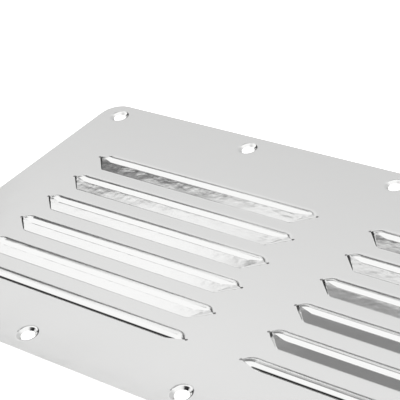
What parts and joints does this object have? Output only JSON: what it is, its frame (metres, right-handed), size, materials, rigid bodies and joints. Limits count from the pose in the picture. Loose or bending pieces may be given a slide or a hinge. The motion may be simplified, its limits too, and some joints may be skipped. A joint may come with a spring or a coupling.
{
  "type": "louvred vent panel",
  "caption": "Flat rectangular vent panel pressed from polished sheet steel, with columns of narrow louvre slits and sunk screw holes along both long edges.",
  "frame": {"origin": "centre of the panel's outline, on the plane of the sheet's flat back face, which lies against the wall", "axes": "+X along the length, +Y up the panel's width towards the side that the louvres open to, +Z out of the front face, away from the wall"},
  "size_m": [0.23, 0.115, 0.0032],
  "materials": {
    "polished_steel": "stainless steel polished to a soft mirror"
  },
  "bodies": {
    "root": {"louvre_panel": "polished_steel"}
  },
  "joints": []
}
